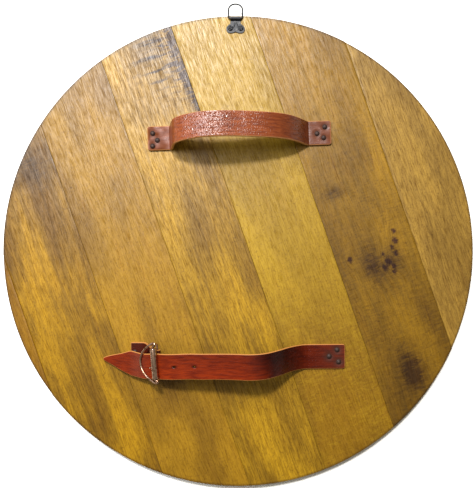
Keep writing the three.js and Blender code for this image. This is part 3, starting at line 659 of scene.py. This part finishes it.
def arm_drift_at(x):
    """How far the strap has drifted across the shield, at a distance from its fixed end."""
    places, offsets = np.array(arm_drift).T
    share = np.clip(np.asarray(x) / arm_reach, 0, 1)
    k = np.clip(np.searchsorted(places, share, side="right") - 1, 0, len(places) - 2)
    t = np.clip((share - places[k]) / (places[k + 1] - places[k]), 0, 1)
    return offsets[k] + (offsets[k + 1] - offsets[k]) * eased(t)


def to_arm(points):
    """From the strap's own place, measured from its fixed end, to the shield's."""
    points = np.asarray(points, float).reshape(-1, 3)
    y = points[:, 1] + arm_drift_at(points[:, 0]) + arm_y
    return np.stack([arm_fixed_end - points[:, 0], y, points[:, 2] + back], -1)


def arm_at(distance):
    """The strap's centre line and its upward normal at a distance from the fixed end, as (x, 0, z)."""
    centre = np.array([distance, 0, np.interp(distance, arm_line[:, 0], arm_line[:, 1])])
    up = unit(sampled(distance, arm_line[:, 0], line_normals(arm_line)))
    return centre, np.array([up[0], 0, up[1]])


def run_at(distance):
    """The length of strap from the fixed end to a distance across the shield."""
    return float(np.interp(distance, arm_line[:, 0], arm_run))


arm_holes = [(run_at(d), 0.0, adjust_hole_radius) for d in adjust_holes]
prong_hole = (run_at(buckle_at + prong_ahead), 0.0, prong_hole_radius)
arm_presses = [(a, b, rivet_seat_radius, arm_seat_depth) for a, b in arm_rivets]
points, faces, along, edge = strap_surface(arm_line, pointed_end, arm_thickness, across=31, corner=0.0010,
                                           holes=arm_holes + [prong_hole], press=arm_presses)
share = points[:, 0] / arm_reach
near_rivet = np.zeros(len(along))
for a, b in arm_rivets:
    near_rivet = np.maximum(near_rivet, np.exp(-(np.hypot(along - a, points[:, 1] - b) / rivet_wear) ** 2))
worn = 0.3 * near_rivet
worn = worn + np.interp(share, [0, 0.1, 0.15, 0.8, 0.85, 0.89, 1], [0.12, 0.05, 0, 0.05, 0.3, 0.08, 0.02])
# Darker leather on the fixed tab, and painted shade over the steep rise and on the upper half along the
# middle.
deep_tone_and_shade = np.interp(share, [0, 0.13, 0.2, 0.3, 0.42, 0.6, 0.8, 1], [0.5, 0.6, 0.75, 1.0, 0.3, 0.15, 0.1, 0.15])
upper_side = np.clip(points[:, 1] / (arm_width / 2), -1, 1)
deep_tone_and_shade = deep_tone_and_shade + 0.25 * upper_side * np.interp(share, [0.2, 0.35, 0.75, 0.85], [0, 1, 1, 0])
# Painted shade round the rivets and in the holes.
deep_tone_and_shade = deep_tone_and_shade + 0.5 * near_rivet
for a, b, _ in arm_holes:
    deep_tone_and_shade = deep_tone_and_shade + 0.9 * np.exp(-((along - a) / 0.003) ** 4 - ((points[:, 1] - b) / 0.0018) ** 4)
crackle = np.interp(share, [0, 0.2, 0.35, 0.75, 0.86, 1], [0.05, 0.3, 0.12, 0.08, 0.3, 0.05])
hide = strap_attributes(points, along, edge, worn, deep_tone_and_shade, crackle)
arm_colours = {"face": "742201", "deep_tone_and_shade": "240200", "mottle": "8a4020", "worn": "5e3c30",
               "crease": "3a1408", "edge": "b47a3e"}
arm_leather = leather("red_brown", arm_colours, crack=560.0, gloss=0.34, shine=0.16)
new_piece("arm_strap_leather", to_arm(points), [f[::-1] for f in faces], arm_leather, ["arm_strap"],
          attributes=hide)

# Rivets. Domed iron rivets, their heads hammered down into the leather and gone dark brown with age.
rivet_radius = 0.0032
rivet_height = 0.0020
rivet_sunk = 0.0004
shank_radius = 0.0015
shank_depth = 0.003
dent_size = (0.0022, 0.0019)
dent_depth = 0.00016
dent_foot = 0.0005
short_strap_end = -0.1385
short_strap_y = -0.1318
short_strap_thickness = 0.0025
short_strap_rivets = [(0.0055, 0.002), (0.0105, -0.004), (0.0055, -0.010)]


def turned(profile, sides):
    """A profile of (radius, height) turned round z, from the middle of the top down to the middle below."""
    profile = np.asarray(profile)
    angle = np.linspace(0, 2 * math.pi, sides, endpoint=False)
    r, z = profile[1:-1, :1], profile[1:-1, 1:]
    points = np.stack([r * np.cos(angle), r * np.sin(angle), z + 0 * angle], -1).reshape(-1, 3)
    faces = grid_faces(len(profile) - 2, sides, around=True, flip=True).tolist()
    points = np.concatenate([points, [[0, 0, profile[0, 1]], [0, 0, profile[-1, 1]]]])
    k = np.arange(sides)
    top, bottom = len(points) - 2, len(points) - 1
    last = (len(profile) - 3) * sides
    faces += np.stack([k, (k + 1) % sides, np.full(sides, top)], -1).tolist()
    faces += np.stack([last + (k + 1) % sides, last + k, np.full(sides, bottom)], -1).tolist()
    return points, faces


def rivet_points(number):
    """A domed head 6.4 mm across with a peened rim and a few hammer flats, on the top of its shank."""
    share = np.linspace(0, 1, 9)
    dome = [(rivet_radius * a, rivet_height * (1 - a ** 2.6)) for a in share[:-1]]
    under = [(rivet_radius, 0.00035), (rivet_radius * 0.97, -0.0001), (shank_radius, -0.0003),
             (shank_radius, -shank_depth), (0, -shank_depth)]
    points, faces = turned(dome + under, 28)
    dents = drift(points[:, 0], points[:, 1], dent_size, 200 + number)
    points[:, 2] += np.where(points[:, 2] > dent_foot, dent_depth * dents, 0)
    return points, faces


def metal(name, values, scale, detail, fresh, aged, low, high):
    """A metal whose skin goes from one colour to another where soft noise runs from low to high."""
    made, shader = new_material(name, values)
    cloud = noise(made, node(made, "ShaderNodeTexCoord").outputs["Object"], scale, detail)
    feed(made, shader, Base_Color=mixed(made, span(made, cloud, low, high), fresh, aged))
    return made, shader, cloud


# Wrought iron, hammered and oxidised: a dark brown skin with dull metal on the high places.
rivet_iron, shader, rust = metal("oxidised_iron_hammered", {"Metallic": 0.3, "Roughness": 0.65},
                                 900.0, 4.0, "1e0e09", "3a261e", 0.35, 0.65)
feed(rivet_iron, shader, Normal=bumped(rivet_iron, rust, strength=0.5, distance=0.0002))

grip_top, arm_top = seat_gap * 2 + grip_thickness, seat_gap * 2 + arm_thickness
short_top = back + 3 * seat_gap + 2 * short_strap_thickness
seats = {
    "grip": to_grip(np.array([(a if a > 0 else grip_length + a, b, grip_top) for a, b in grip_rivets])),
    "arm": to_arm([(a, b, arm_top) for a, b in arm_rivets]),
    "buckle": [(short_strap_end + a, short_strap_y + b, short_top) for a, b in short_strap_rivets],
}
rivets = [(f"{strap}_rivet_{k}", at) for strap, places in seats.items() for k, at in enumerate(places, 1)]
for number, (name, at) in enumerate(rivets):
    points, faces = rivet_points(number)
    new_piece(name + "_head", points + at - [0, 0, rivet_sunk], faces, rivet_iron, [name])

# Buckle. A D-shaped frame of bent nickel-plated wire, with a rolled sheet tube turning on its outer bar,
# a cranked middle bar soldered across, and a wire prong that comes up through the strap to the roller.
buckle_skew = math.radians(5.9)
buckle_half = 0.0229
buckle_slide = 0.0052
frame_wire = 0.0028
middle_wire = 0.0027
roller_radius = 0.004
roller_length = 0.037
roller_wall = 0.001
roller_slide = 0.0006
roller_lip = 0.0003
middle_share = 0.08
prong_wire = 0.0022
turning_room = 0.0002
frame_outline = [
    (0, 0), (0.45, 0), (0.87, 0), (0.95, -0.12), (1.03, -0.14), (1.07, 0), (0.99, 0.2),
    (0.8, 0.54), (0.55, 0.81), (0.28, 0.96), (0, 1),
]
middle_crank = [(0, 0), (0.1, 0.5), (0.4, 0.88), (0.9, 0.99), (1.5, 1), (2.5, 1)]

strap_clear = arm_thickness / 2 + seat_gap
centre, up = arm_at(buckle_at)
roller_centre = to_arm(centre + up * (strap_clear + roller_radius))[0]
rim_place, rim_up = arm_at(buckle_at + buckle_reach)
rim_centre = to_arm(rim_place + rim_up * (strap_clear + frame_wire / 2))[0]
bar_place, bar_up = arm_at(buckle_at + buckle_reach * middle_share)
fold_room = strap_clear + short_strap_thickness + turning_room + frame_wire / 2
middle_centre = to_arm(bar_place - bar_up * fold_room)[0]
buckle_centre = roller_centre + np.array([0, buckle_slide, 0])
along_bar = np.array([0, -math.cos(buckle_skew), 0]) + math.sin(buckle_skew) * np.array([up[2], 0, up[0]])
across_frame = rim_centre - roller_centre
across_frame = across_frame - along_bar * across_frame.dot(along_bar)
frame_depth = np.linalg.norm(across_frame)
across_frame = across_frame / frame_depth
out_of_frame = -np.cross(along_bar, across_frame)
middle_across = (middle_centre - buckle_centre).dot(across_frame)
middle_drop = (middle_centre - buckle_centre).dot(out_of_frame)


def in_buckle(places):
    """From the frame's own (along its bar, across to its rim, out of its plane) to the shield's place."""
    return buckle_centre + np.asarray(places, float) @ np.stack([along_bar, across_frame, out_of_frame])


def wire(line, radius, flat_normal, sides=20, closed=False):
    """A round wire along a line that lies in one plane: each station's circle is spanned by the plane's
    normal and by the line's own normal in the plane. Open ends are rounded off and closed."""
    n = unit(np.asarray(flat_normal, float))
    if closed:
        line = line[:-1]
        along = np.roll(line, -1, 0) - np.roll(line, 1, 0)
        size = np.ones(len(line))
    else:
        along = np.gradient(line, axis=0)
        tip = unit(along[[0, -1]])
        end = np.array([1.4, 1.0, 0.5])
        steps = radius * np.sin(end)
        head = line[0] - tip[0] * steps[:, None]
        tail = line[-1] + tip[1] * steps[::-1, None]
        line = np.concatenate([head, line, tail])
        along = np.gradient(line, axis=0)
        size = np.concatenate([np.cos(end), np.ones(len(line) - 6), np.cos(end)[::-1]])
    side = unit(np.cross(unit(along), n))
    angle = np.linspace(0, 2 * math.pi, sides, endpoint=False)[None, :, None]
    offset = np.cos(angle) * n + np.sin(angle) * side[:, None]
    points = line[:, None] + radius * size[:, None, None] * offset
    rows = len(points)
    faces = grid_faces(rows, sides, around=True, closed=closed, flip=True).tolist()
    if not closed:
        faces += [list(range(sides)), list(range(rows * sides - 1, (rows - 1) * sides - 1, -1))]
    return points.reshape(-1, 3), faces


def joined(*parts):
    """Several surfaces as one mesh."""
    points, faces, count = [], [], 0
    for part_points, part_faces in parts:
        points.append(part_points)
        faces += [[k + count for k in face] for face in part_faces]
        count += len(part_points)
    return np.concatenate(points), faces


def frame_half_at(share):
    """Half the frame's length at a share of the way from its bar to its rim, on the outline's sides."""
    side = np.array(frame_outline[5:])
    return np.interp(share, side[:, 1], side[:, 0]) * buckle_half


# Nickel-plated steel wire, polished once and now dull in patches, its colours tinted warm brown
# as a painted reflection of the leather round it.
nickel, shader, dull = metal("nickel_plate_tarnished_painted_reflection", {"Metallic": 1.0}, 260.0, 5.0,
                             "cfae98", "86664f", 0.4, 0.65)
feed(nickel, shader, Roughness=span(nickel, dull, 0.3, 0.7, 0.14, 0.34))

wire_step = 0.0006
side = np.array([(a * buckle_half, b * frame_depth, 0) for a, b in frame_outline])
other = side[-2:0:-1] * [-1, 1, 1]
loop = smooth_line(in_buckle(np.concatenate([side, other])), wire_step, closed=True)
reach = frame_half_at(middle_across / frame_depth)
half_bar = [(a * frame_wire - reach, middle_across, b * middle_drop) for a, b in middle_crank]
middle_line = half_bar + [(0, middle_across, middle_drop)] + [(-a, b, c) for a, b, c in half_bar[::-1]]
bar = smooth_line(in_buckle(middle_line), wire_step)
points, faces = joined(wire(loop, frame_wire / 2, out_of_frame, closed=True),
                       wire(bar, middle_wire / 2, across_frame))
new_piece("buckle_frame_wire", points, faces, nickel, ["buckle_frame"])


def roller_surface():
    """A rolled tube: outer and inner walls with rounded lips, as a profile turned round the frame's bar."""
    half, lip, sides = roller_length / 2, roller_lip, 40
    inner = roller_radius - roller_wall
    bevel = np.linspace(0, math.pi / 2, 4)
    lip_out = [roller_radius - lip + lip * np.cos(bevel), half - lip + lip * np.sin(bevel)]
    lip_in = [inner + lip - lip * np.sin(bevel), half - lip + lip * np.cos(bevel)]
    right = np.concatenate([np.stack(lip_out, -1), np.stack(lip_in, -1)])
    profile = np.concatenate([right, right[::-1] * [1, -1]])
    angle = np.linspace(0, 2 * math.pi, sides, endpoint=False)
    r, z = profile[:, :1], profile[:, 1:]
    places = np.stack([z + 0 * angle + roller_slide, r * np.cos(angle), r * np.sin(angle)], -1)
    faces = grid_faces(len(profile), sides, around=True, closed=True)
    return in_buckle(places.reshape(-1, 3)), faces.tolist()


points, faces = roller_surface()
new_piece("buckle_roller_tube", points, faces, nickel, ["buckle_roller"])

prong_eye = frame_wire / 2 + turning_room + prong_wire / 2
prong_rest = roller_radius + seat_gap + prong_wire / 2


def on_circle(middle, radius, degrees):
    """Places on a circle in the plane across the frame's bar, at those angles."""
    return [(buckle_slide, middle[0] + radius * math.cos(t), middle[1] + radius * math.sin(t))
            for t in np.radians(degrees)]


eye = on_circle((middle_across, middle_drop), prong_eye, np.linspace(-200, 60, 11))
head = on_circle((0, 0), prong_rest, [0, 21, 42])
straight = [tuple((np.array(eye[-1]) + np.array(head[0])) / 2)]
prong_line = smooth_line(in_buckle(eye + straight + head), step=0.0004)
points, faces = wire(prong_line, prong_wire / 2, along_bar, sides=16)
new_piece("buckle_prong_wire", points, faces, nickel, ["buckle_prong"])

# Short strap. A folded piece of the same leather as the arm strap, round the buckle's middle bar,
# with both its layers riveted to the boards under the pointed end.
short_strap_tab = 0.017
short_strap_flat = 0.010
short_strap_width = 0.028
short_strap_corner = 0.0012
short_strap_drift = -0.0065
prong_slot_radius = 0.0017
lower_lift = 0.0004
upper_lift = 0.0009
low = seat_gap + short_strap_thickness / 2
high = low + short_strap_thickness + seat_gap
fold = frame_wire / 2 + turning_room + short_strap_thickness / 2
bar_x = middle_centre[0] - short_strap_end
bar_z = middle_centre[2] - back
turns = np.radians(np.linspace(-62, 130, 9))
controls = [(0, low), (short_strap_flat, low), (short_strap_tab, low + lower_lift)]
controls += [(bar_x + fold * math.cos(t), bar_z + fold * math.sin(t)) for t in turns]
controls += [(short_strap_tab, high + upper_lift), (short_strap_flat, high), (0, high)]
short_line = smooth_line(controls, step=0.0009)
slot_across = in_buckle(eye[-1])[1] - short_strap_y - short_strap_drift
slot_at = run_of(short_line)[np.argmax(short_line[:, 0])]
points, faces, along, edge = strap_surface(
    short_line, square_end(short_strap_width, short_strap_corner), short_strap_thickness,
    across=27, corner=0.0008, holes=[(slot_at, slot_across, prong_slot_radius)])
x, y, z = points[:, 0] + short_strap_end, points[:, 1] + short_strap_y, points[:, 2] + back
tab_x = short_strap_end + short_strap_tab
share = eased(np.clip((x - tab_x) / (middle_centre[0] - fold - tab_x), 0, 1))
y = y + short_strap_drift * share
from_bar = share * (y - middle_centre[1]) / along_bar[1]
placed = np.stack([x + from_bar * along_bar[0], y, z + from_bar * along_bar[2]], -1)
every = np.ones(len(along))
# Painted shade: the short strap takes the darker colour almost all over, for the shade under the pointed end.
hide = strap_attributes(points, along, edge, worn=0.05 * every, deep_tone_and_shade=0.85 * every, crackle=0.1 * every)
new_piece("buckle_strap_leather", placed, [f[::-1] for f in faces], arm_leather, ["buckle_strap"],
          attributes=hide)

# Hanger. A pressed plate of blackened sheet steel, its neck rolled into a barrel round a wire ring,
# its two ears each held by a small pan-head screw, and a rib pressed up in it like an arrow.
hanger_x = -0.0035
hanger_inset = 0.0043
plate_thickness = 0.001
barrel_length = 0.0134
plate_length = 0.0185
plate_step = 0.0004
plate_neck = 0.0062
plate_notch = 0.0019
ear_width = 0.0239
ear_fullest = 0.0128
screw_spacing = 0.0134
screw_from_axis = 0.0121
screw_radius = 0.0034
screw_height = 0.0017
screw_shank = 0.0016
slot_turn = 0.5
slot_width = 0.00045
slot_reach = 0.0019
slot_depth = 0.0008
slot_foot = 0.0006
notch_start = 0.009
rib_top = 0.004
rib_slope = 0.42
rib_width = 0.0008
rib_height = 0.0004
rib_run = [0.0035, 0.0055, 0.0105, 0.0135]
ring_wire = 0.0022
ring_width = 0.0202
ring_length = 0.0234
ring_corner = 0.0036
barrel_outer = ring_wire / 2 + turning_room + plate_thickness
hinge = np.array([hanger_x, shield_radius - hanger_inset, back + seat_gap + barrel_outer])

roll = barrel_outer - plate_thickness / 2
sheet = seat_gap + plate_thickness / 2
turn = np.radians(np.linspace(285, 0, 60))
rolled = np.stack([-roll * np.sin(turn), sheet + roll * (1 - np.cos(turn))], -1)
flat = np.arange(plate_step, plate_length, plate_step)
plate_line = np.concatenate([rolled, np.stack([flat, np.full(len(flat), sheet)], -1)])
roll_run = float(roll * turn[0])
ear = ear_width / 2


def bend(start, middle, end):
    """A quadratic curve of (distance down the plate, half its width), as 24 points."""
    t = np.linspace(0, 1, 24)[:, None]
    start, middle, end = np.array([start, middle, end])
    return (1 - t) ** 2 * start + 2 * t * (1 - t) * middle + t ** 2 * end


flare = bend((plate_neck, barrel_length / 2), ((plate_neck + ear_fullest) / 2, ear), (ear_fullest, ear))
foot = bend((ear_fullest, ear), (plate_length, ear), (plate_length, ear / 2))
outline = np.concatenate([[(0, barrel_length / 2)], flare, foot[1:]])
points, faces, along, edge = strap_surface(
    plate_line, lambda distance, length: np.interp(distance, outline[:, 0] + roll_run, outline[:, 1]),
    plate_thickness, across=45, corner=0.0002)
down = np.clip(along - roll_run, 0, plate_length)
notch = plate_notch * np.clip(1 - np.abs(points[:, 1]) / (ear / 2), 0, 1) ** 2
points[:, 0] -= notch * np.clip((down - notch_start) / (plate_length - notch_start), 0, 1) ** 2
rib_away = np.abs(np.abs(points[:, 1]) - (down - rib_top) * rib_slope) / rib_width
points[:, 2] += rib_height * np.exp(-rib_away ** 2) * np.interp(down, rib_run, [0, 1, 1, 0])
placed = np.stack([hinge[0] + points[:, 1], hinge[1] - points[:, 0], points[:, 2] + back], -1)

# Mild sheet steel, pressed and heat-blackened: blue-black oxide, a little greyer in patches.
black, shader, oxide = metal("blackened_steel_pressed", {"Metallic": 0.3}, 420.0, 5.0,
                             "08090c", "1c2028", 0.45, 0.7)
feed(black, shader, Roughness=span(black, oxide, 0.3, 0.7, 0.4, 0.6))
new_piece("hanger_plate_sheet", placed, faces, black, ["hanger_plate"])

for way, name in [(-1, "hanger_screw_left"), (1, "hanger_screw_right")]:
    share = np.linspace(0, 1, 14)
    dome = [(screw_radius * a, screw_height * (0.35 + 0.65 * math.sqrt(1 - a ** 3))) for a in share]
    under = [(screw_radius, 0.0), (screw_shank, 0.0), (screw_shank, -shank_depth), (0, -shank_depth)]
    points, faces = turned(dome + under, 48)
    u, v = np.abs(rotated(points[:, 0], points[:, 1], -slot_turn * way))
    cross = np.minimum(np.maximum(u / slot_width, v / slot_reach), np.maximum(v / slot_width, u / slot_reach))
    points[:, 2] -= np.where(points[:, 2] > slot_foot, slot_depth * np.clip(1.6 - cross, 0, 1), 0)
    at = hinge[0] + way * screw_spacing / 2, hinge[1] - screw_from_axis, back + 2 * seat_gap + plate_thickness
    new_piece(name + "_head", points + np.array(at), faces, black, [name])

# Ring. A D of the same blackened wire, its straight side turning in the barrel. It droops a little
# over the eased edge of the boards, and swings up and over towards the straps.
cad_easing = 0.0015
half = (ring_width - ring_wire) / 2
bar_half = barrel_length / 2 + turning_room
arc_centre = ring_length - half
corner = ((bar_half + half) / 2 + 0.1 * ring_wire, 0.5 * ring_wire)
side = [(0, 0), (bar_half / 2, 0), (bar_half, 0), corner, (half, ring_corner)]
side += [(half, arc_centre - ring_wire / 2)]
side += [(half * math.cos(t), arc_centre + half * math.sin(t)) for t in np.radians([12, 34, 56, 78])]
side = np.array(side + [(0, ring_length)])
other = side[-2:0:-1] * [-1, 1]
over_edge = hinge[2] - back + cad_easing
beyond_edge = hinge[1] - (shield_radius - cad_easing)
droop = math.acos((cad_easing + ring_wire / 2 + seat_gap) / math.hypot(over_edge, beyond_edge))
droop = droop + math.atan2(beyond_edge, over_edge)
ring_line = smooth_line(np.concatenate([side, other]), wire_step, closed=True)
x, y = ring_line.T
placed = np.stack([x, y * math.cos(droop), -y * math.sin(droop)], -1) + hinge
points, faces = wire(placed, ring_wire / 2, [0, math.sin(droop), math.cos(droop)], closed=True)
new_piece("hanger_ring_wire", points, faces, black, ["hanger_ring"], body="ring")

# Stage. A plain pale floor, a soft lamp and a broad pale panel up the shield from it, a pale sky, and
# a camera that looks straight down at the shield from 0.7 m above its back.
floor_reach = 4
floor_level = -0.0002
lamp_tilt = math.radians(30)
lamp_distance = 3.0
lamp_side = 0.22
panel_side, panel_up, panel_height, panel_away = 0.5, 0.56, 0.95, 1.1
camera_height = 0.7

floor_mesh = bpy.data.meshes.new("floor")
corners = [(x * floor_reach, y * floor_reach, floor_level) for x, y in [(-1, -1), (1, -1), (1, 1), (-1, 1)]]
floor_mesh.from_pydata(corners, [], [(0, 1, 2, 3)])
floor_material, _ = new_material("matt_white_card", {"Base Color": linear("f8f8f6"), "Roughness": 0.9})
floor_mesh.materials.append(floor_material)
floor = bpy.data.objects.new("floor", floor_mesh)
bpy.context.scene.collection.objects.link(floor)
floor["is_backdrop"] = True

world = bpy.data.worlds.new("pale_sky")
bpy.context.scene.world = world
world.use_nodes = True
sky = world.node_tree.nodes["Background"].inputs
sky["Color"].default_value = linear("f8f0de")
sky["Strength"].default_value = 0.29


def area_light(name, shape, size, energy, colour, place, turn):
    """A studio light with a flat glowing face, turned towards the shield."""
    data = bpy.data.lights.new(name, "AREA")
    data.shape, data.size, data.energy, data.color = shape, size, energy, colour
    made = bpy.data.objects.new(name, data)
    made.location, made.rotation_euler = place, turn
    bpy.context.scene.collection.objects.link(made)


area_light("lamp", "DISK", size=0.34, energy=112, colour=(1.0, 0.97, 0.93),
           place=(-lamp_side, lamp_distance * math.sin(lamp_tilt),
                  back + lamp_distance * math.cos(lamp_tilt)),
           turn=(-lamp_tilt, -math.atan2(lamp_side, lamp_distance), 0))
area_light("panel", "SQUARE", size=0.8, energy=21, colour=(0.95, 0.97, 1.0),
           place=(-panel_side, panel_up, back + panel_height),
           turn=(-math.atan2(panel_up, panel_height), -math.atan2(panel_side, panel_away), 0))

camera_data = bpy.data.cameras.new("camera")
camera_data.lens = 39.8
camera_data.sensor_width = 36
camera = bpy.data.objects.new("camera", camera_data)
camera.location = (-0.0009, 0.0091, back + camera_height)
bpy.context.scene.collection.objects.link(camera)
bpy.context.scene.camera = camera
bpy.context.scene.view_settings.view_transform = "Standard"

box_at_end = [list(corner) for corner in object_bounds()]
